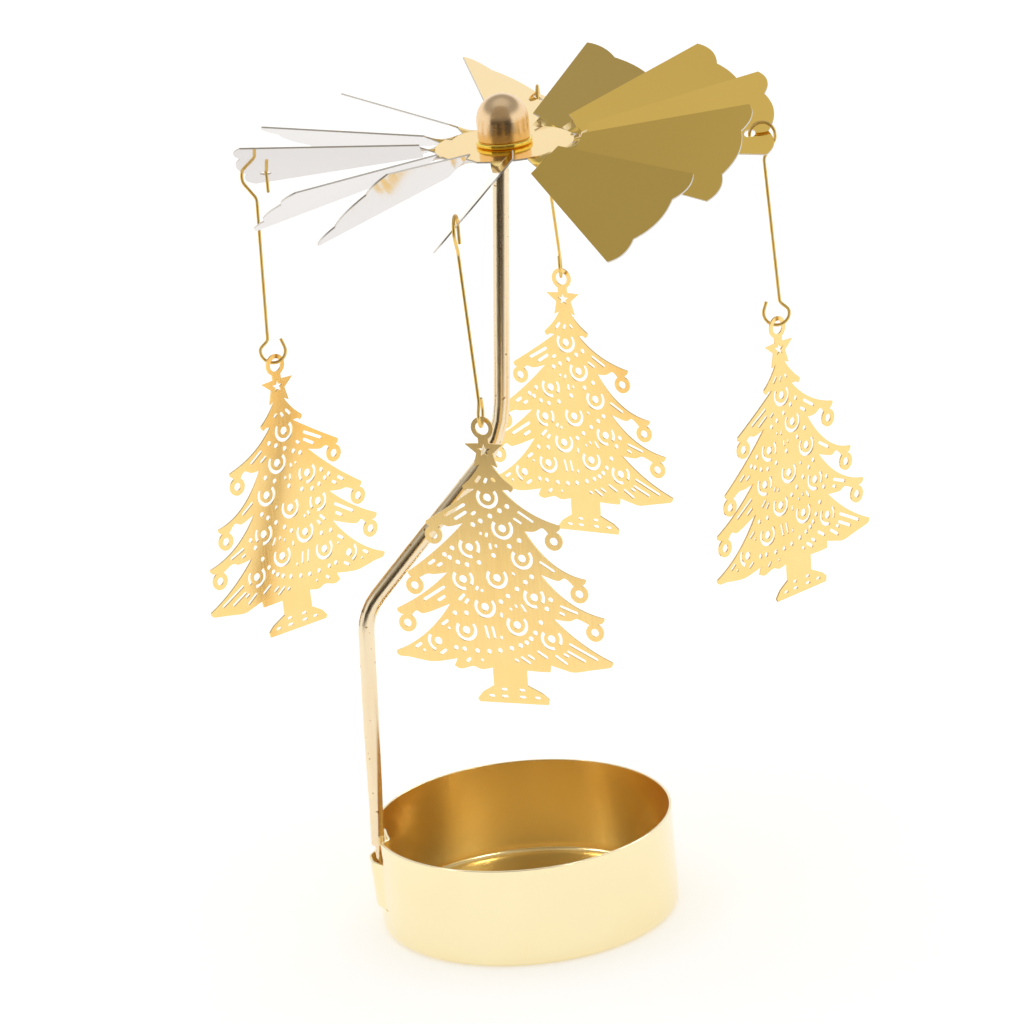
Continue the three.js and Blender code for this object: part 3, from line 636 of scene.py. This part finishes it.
treeFoot = [(-2.3, -44.3), (-2.4, -47.6), (-4.6, -48.9), (-5.7, -50.2), (-5.4, -50.8),
            (7.7, -50.8), (7.9, -49.8), (6.8, -48.8), (4, -47.4), (4.1, -44.5)]
treeBaubles = [  # middle of each, and whether its crescent is whole, a half or split at the lower right
    (-0.3, -12.7, "whole"), (2, -18.3, "whole"), (-4.6, -22, "split"), (5.2, -23.7, "whole"),
    (-6.4, -28, "split"), (0.1, -27.5, "whole"), (6.8, -30.8, "split"), (-2.7, -33, "whole"),
    (3.1, -36.1, "whole"), (-6.7, -37.5, "whole"), (-12.3, -39.8, "half"), (9.4, -38.4, "split"),
]
treeGarlands = [  # a few points on each string of beads, and the number of beads
    ([(-3.5, -17.8), (-0.1, -16.1), (3.3, -14.2)], 5),
    ([(-9.5, -23.6), (-4.3, -25.2), (5, -20.4)], 8),
    ([(0.4, -31.9), (3.7, -29.4), (6.7, -27)], 5),
    ([(9.9, -31.1), (6.4, -37.4), (3.4, -39.9), (-2.7, -41.3), (-9, -40.9)], 13),
    ([(-8.6, -34.4), (-6.4, -34.3)], 2),
    ([(-7.9, -22.3), (-7.9, -22.3)], 1),
]
treeSlots = [  # middle, length and slope of each needle cut
    (-1.7, -9.4, 1.7, 50), (-0.3, -9.6, 1.2, 62), (1.2, -9.4, 1, -46),
    (-6.7, -15.2, 4.8, 29), (-5.7, -16.2, 3, 32), (-3.2, -15.7, 1.2, 35),
    (6.6, -16, 3.4, -34), (5, -16.8, 1.8, -33),
    (-2.2, -19.4, 0.7, 64), (-1.1, -19.6, 1, 69), (-0.6, -21.7, 1.3, -88), (0.5, -21.6, 0.8, 84),
    (-12.1, -25.1, 1.8, 34), (-10.6, -25.5, 1.4, 31), (9.8, -25, 3.3, -33), (-12.2, -30.9, 5.2, 32),
    (-10.9, -31.8, 2, 33), (13.2, -32.8, 3.6, -21), (11.8, -33.6, 1.2, -24),
    (-3.9, -29.6, 1.1, 59), (-3, -30, 0.8, 56), (-7, -31.4, 1.9, 45), (-6.1, -32.1, 1.4, 50),
    (-2.8, -37.7, 2.6, -80), (-1.5, -37.7, 2.4, -80), (-10.7, -36.3, 1.8, 36), (-10, -37.3, 0.6, 30),
    (3.3, -26.6, 0.8, -45), (3.2, -32.6, 0.8, -67), (4.6, -32.9, 1.7, -60), (2.2, -33.2, 0.5, -72),
    (0.3, -34.4, 1.1, 89), (-0.1, -38.6, 0.8, 88), (-16.2, -40.8, 1.7, 34), (-15.2, -41.7, 0.6, 30),
    (-11.5, -41.8, 1.7, 34), (-6.8, -43.1, 1.3, 41), (-4.2, -43, 0.6, 80),
    (15.2, -40.5, 6, -28), (13.8, -41.4, 3.9, -28), (10.9, -42.2, 2.8, -36), (11.9, -41.3, 1.2, -28),
    (7.4, -41.4, 2.4, -34), (5.2, -42, 1.5, -33), (4.1, -42.6, 2.2, -35), (2.4, -42.7, 1, -29),
    (-3, -49.6, 1.2, 0), (-0.5, -48.3, 1.2, 0), (2.9, -48.3, 1.2, 0), (-0.5, -49.6, 1.3, 0),
    (2.9, -49.6, 1.3, 0), (5.7, -49.6, 1.2, 0),
]


def starLoop(middle, reach, waist):
    turns = [(math.radians(90 - 36 * i), waist if i % 2 else reach) for i in range(10)]
    return [(r * math.cos(a), middle + r * math.sin(a)) for a, r in turns]


def treeSide(side, s):  # the edge from the star down to the trunk
    sign = 1 if side == "right" else -1
    star = [(sign * abs(x), y) for x, y in starLoop(*s["star"])[1:5]]
    points = star + [(sign * s["neck"][0], s["neck"][1])]
    for tier in treeTiers[side]:
        start, tip = points[-1], tier["tip"]
        control = [a + (b - a) * share for a, b, share in zip(start, tip, tier["pull"])]
        points += quadCurve(start, control, tip, s["edgeSteps"])
        under = quadCurve(tip, (tip[0] + sign * s["tip"] / 2, tip[1] - s["tip"]),
                          (tip[0] - sign * s["tip"], tip[1] - 2 * s["tip"]), s["tipSteps"])
        if "ball" in tier:
            x, y = tier["ball"]
            ball = arcPoints(x, y, s["ball"], *s["ballArc"], s["ballSteps"])
            ball = ball if sign > 0 else [(2 * x - px, py) for px, py in ball]
            points += under + ball
            under = ball[-1:]
        else:
            points += under
        points += smoothThrough(under[-1:] + tier["under"], s["underSteps"])
    for stroke in treeHem[side]:
        points += smoothThrough(stroke, s["hemSteps"])
    return points


def treeLoops(s):  # the outline and every opening
    right, left = treeSide("right", s), treeSide("left", s)
    foot = math.degrees(math.acos(right[0][0] / s["ring"]))
    outline = arcPoints(0, 0, s["ring"], -foot, 180 + foot, s["ringSteps"]) + left
    outline += treeFoot[1:-1] + right[::-1]
    ringHole = arcPoints(0, 0, s["ringHole"], 0, 360, s["ringHoleSteps"])[:-1]
    loops = [outline, ringHole, starLoop(s["star"][0], *s["starHole"])]
    for tier in treeTiers["right"] + treeTiers["left"]:
        if "ball" in tier:
            loops.append(arcPoints(*tier["ball"], s["ballHole"], 0, 360, s["ballHoleSteps"])[:-1])
    wideEdge, narrowEdge = s["bauble"] + s["baubleLine"] / 2, s["bauble"] - s["baubleLine"] / 2
    mouth = s["baubleMouth"]
    leftLip, rightLip = 90 + mouth, 450 - mouth
    splitStart, splitEnd = s["baubleSplit"]
    cuts = {"whole": [(leftLip, rightLip)], "half": [(leftLip, s["baubleHalf"])],
            "split": [(leftLip, splitStart), (splitEnd, rightLip)]}
    for x, y, kind in treeBaubles:
        loops.append(arcPoints(x, y, s["baubleDot"], 0, 360, s["dotSteps"])[:-1])
        for start, end in cuts[kind]:
            steps = max(6, round((end - start) / facetAngle))
            outer = arcPoints(x, y, wideEdge, start, end, steps)
            loops.append(outer + arcPoints(x, y, narrowEdge, end, start, steps))
    for points, count in treeGarlands:
        string = [points[0]] + smoothThrough(points, s["stringSteps"])
        for i in range(count):
            x, y = string[round(i * (len(string) - 1) / max(count - 1, 1))]
            loops.append(arcPoints(x, y, s["garlandDot"], 0, 360, s["beadSteps"])[:-1])
    for x, y, length, slope in treeSlots:
        half, end = max(length - s["slot"], s["slotLeast"]) / 2, s["slot"] / 2
        ends = arcPoints(half, 0, end, -90, 90, s["slotSteps"])
        ends += arcPoints(-half, 0, end, 90, 270, s["slotSteps"])
        c, n = math.cos(math.radians(slope)), math.sin(math.radians(slope))
        loops.append([(x + px * c - py * n, y + px * n + py * c) for px, py in ends])
    return loops


def makeTree(name, s):
    bm = bmesh.new()
    faces = fillLoops(bm, treeLoops(s))
    made = bmesh.ops.extrude_face_region(bm, geom=faces)["geom"]
    raised = [item for item in made if isinstance(item, bmesh.types.BMVert)]
    bmesh.ops.translate(bm, verts=raised, vec=(0, 0, s["sheet"] * mm))
    bmesh.ops.recalc_face_normals(bm, faces=bm.faces)
    hang = Matrix.Translation(Vector(joints[name + "_rock"]["pos_m"]))
    hang = hang @ Matrix.Rotation(math.radians(s["yaws"][name]), 4, "Z")
    hang = hang @ Matrix.Rotation(math.pi / 2, 4, "X")
    hang = hang @ Matrix.Translation((0, -s["drop"] * mm, -s["sheet"] / 2 * mm))
    bmesh.ops.transform(bm, matrix=hang, verts=bm.verts)
    finishPiece(bm, "tree_etched_" + name, name + "_tree", ["tree_" + name], [treeGold])


for arm in arms:
    makeTree(arm, treeSizes)


# floor, light and camera

stageSizes = {
    "floor": 6.0, "floorColour": "#f6f5f3", "floorRoughness": 0.9, "floorGlow": 0.35,
    "flagFront": 0.25, "flagWall": 0.6, "flagLeft": -0.72, "flagRight": 0.63, "flagHeight": 2.2,
    "flagLift": 0.001,  # clear of the floor
    "flagTones": [(0.255, "#fdfcfa"), (0.29, "#a89f92"), (0.31, "#9a9184"), (0.42, "#2e2720"),
                  (0.75, "#2e2720"), (0.94, "#988f80")],  # by the way along the card, from under the holder
    "lampSize": 2.4, "lampHeight": 2.0, "lampPower": 15,
    "cupLampSize": 2.0, "cupLampHeight": 0.8, "cupLampPower": 0.8,
    "spotTurns": (-117, 19, 134), "spotRise": 45, "spotDistance": 1.0, "spotSize": 0.16, "spotPower": 1.5,
    "sky": [(0.36, 1.0), (0.56, 0.39), (0.8, 0.4), (0.95, 0.64)],  # sine of the height, brightness
    "bounces": 24,  # light goes round many times inside the cup
}
cameraSizes = {
    "target": (0, 0, 0.08), "distance": 0.924, "azimuth": 7, "elevation": 18.05, "roll": 5.52,
    "focal": 5040, "image": 1024, "shift": (19.5, -5.9),  # focal length and shift in pixels of the frame
}


def plainFinish(name, colour, roughness, glow=0):
    material = bpy.data.materials.new(name)
    material.use_nodes = True
    shader = material.node_tree.nodes["Principled BSDF"]
    shader.inputs["Base Color"].default_value = hexLinear(colour)
    shader.inputs["Roughness"].default_value = roughness
    shader.inputs["Emission Color"].default_value = hexLinear(colour)
    shader.inputs["Emission Strength"].default_value = glow
    return material


def makeLamp(name, size, place, power):  # aimed at the middle of the cup's foot
    data = bpy.data.lights.new(name, "AREA")
    data.size = size
    data.energy = power
    lamp = bpy.data.objects.new(name, data)
    lamp.location = place
    lamp.rotation_euler = Vector(place).to_track_quat("Z", "Y").to_euler()
    scene.collection.objects.link(lamp)
    return lamp


def flagFinish(name, tones):  # matt card, dark low in front and paler upwards
    material = plainFinish(name, tones[-1][1], roughness=1)
    tree = material.node_tree
    place = addNode(tree, "ShaderNodeTexCoord").outputs["Object"]
    depth = addNode(tree, "ShaderNodeSeparateXYZ", None, {"Vector": place})
    along = addNode(tree, "ShaderNodeMath", {"operation": "SUBTRACT"},
                    {0: depth.outputs["Z"], 1: depth.outputs["Y"]})
    ramp = addNode(tree, "ShaderNodeValToRGB", None, {"Fac": along.outputs["Value"]},
                   [(distance, hexLinear(code)) for distance, code in tones])
    tree.links.new(ramp.outputs["Color"], tree.nodes["Principled BSDF"].inputs["Base Color"])
    return material


def stageObject(bm, name, material):
    mesh = bpy.data.meshes.new(name)
    bm.to_mesh(mesh)
    bm.free()
    mesh.materials.append(material)
    made = bpy.data.objects.new(name, mesh)
    scene.collection.objects.link(made)
    return made


def makeStage(s):
    bm = bmesh.new()
    bmesh.ops.create_grid(bm, x_segments=1, y_segments=1, size=s["floor"] / 2)
    acrylic = plainFinish("acrylic_backlitWhite", s["floorColour"], s["floorRoughness"], s["floorGlow"])
    floor = stageObject(bm, "floor", acrylic)
    # dark flag in front, seen only in reflections: along the floor and then upright
    bm = bmesh.new()
    side = [bm.verts.new((s["flagLeft"], y, z)) for y, z in [
        (-s["flagFront"], s["flagLift"]), (-s["flagWall"], s["flagLift"]),
        (-s["flagWall"], s["flagHeight"])]]
    edges = [bm.edges.new(pair) for pair in zip(side, side[1:])]
    drawnRing(bm, edges, (s["flagRight"] - s["flagLeft"], 0, 0))
    flag = stageObject(bm, "flag", flagFinish("card_graded", s["flagTones"]))
    flag.visible_camera = flag.visible_diffuse = flag.visible_shadow = False
    makeLamp("softbox", s["lampSize"], (0, 0, s["lampHeight"]), s["lampPower"]).visible_glossy = False
    lit = bpy.data.collections.new("cupLampReach")  # the other lamps brighten the cup alone
    lit.objects.link(cup)
    cupLamps = [makeLamp("cupLamp", s["cupLampSize"], (0, 0, s["cupLampHeight"]), s["cupLampPower"])]
    rise = math.radians(s["spotRise"])
    for angle in s["spotTurns"]:  # small lamps round about, whose glints stand in the cup's back wall
        turn = math.radians(angle)
        aim = Vector((math.sin(turn) * math.cos(rise), math.cos(turn) * math.cos(rise), math.sin(rise)))
        cupLamps.append(makeLamp("cupSpot", s["spotSize"], aim * s["spotDistance"], s["spotPower"]))
    for lamp in cupLamps:
        lamp.light_linking.receiver_collection = lit


def makeWorld(sky):
    world = bpy.data.worlds.new("studio")
    world.use_nodes = True
    scene.world = world
    tree = world.node_tree
    direction = addNode(tree, "ShaderNodeTexCoord").outputs["Generated"]
    parts = addNode(tree, "ShaderNodeSeparateXYZ", None, {"Vector": direction})
    ramp = addNode(tree, "ShaderNodeValToRGB", None, {"Fac": parts.outputs["Z"]},
                   [(height, (level, level, level, 1)) for height, level in sky])
    tree.links.new(ramp.outputs["Color"], tree.nodes["Background"].inputs["Color"])


def makeCamera(s):
    turn, tilt, roll = (math.radians(s[key]) for key in ("azimuth", "elevation", "roll"))
    back = Vector((math.sin(turn) * math.cos(tilt), -math.cos(turn) * math.cos(tilt), math.sin(tilt)))
    right = Vector((math.cos(turn), math.sin(turn), 0))
    up = back.cross(right)
    x, y = right * math.cos(roll) - up * math.sin(roll), right * math.sin(roll) + up * math.cos(roll)
    data = bpy.data.cameras.new("camera")
    data.sensor_width = 36
    data.lens = s["focal"] / s["image"] * data.sensor_width
    data.shift_x, data.shift_y = (pixels / s["image"] for pixels in s["shift"])
    data.clip_start, data.clip_end = 0.05, 20
    camera = bpy.data.objects.new("camera", data)
    camera.matrix_world = Matrix.Translation(Vector(s["target"]) + back * s["distance"]) @ \
        Matrix((x, y, back)).transposed().to_4x4()
    scene.collection.objects.link(camera)
    scene.camera = camera


makeStage(stageSizes)
makeWorld(stageSizes["sky"])
makeCamera(cameraSizes)
scene.view_settings.view_transform = "Standard"
scene.cycles.max_bounces = scene.cycles.glossy_bounces = stageSizes["bounces"]
print("stage, light and camera ready")
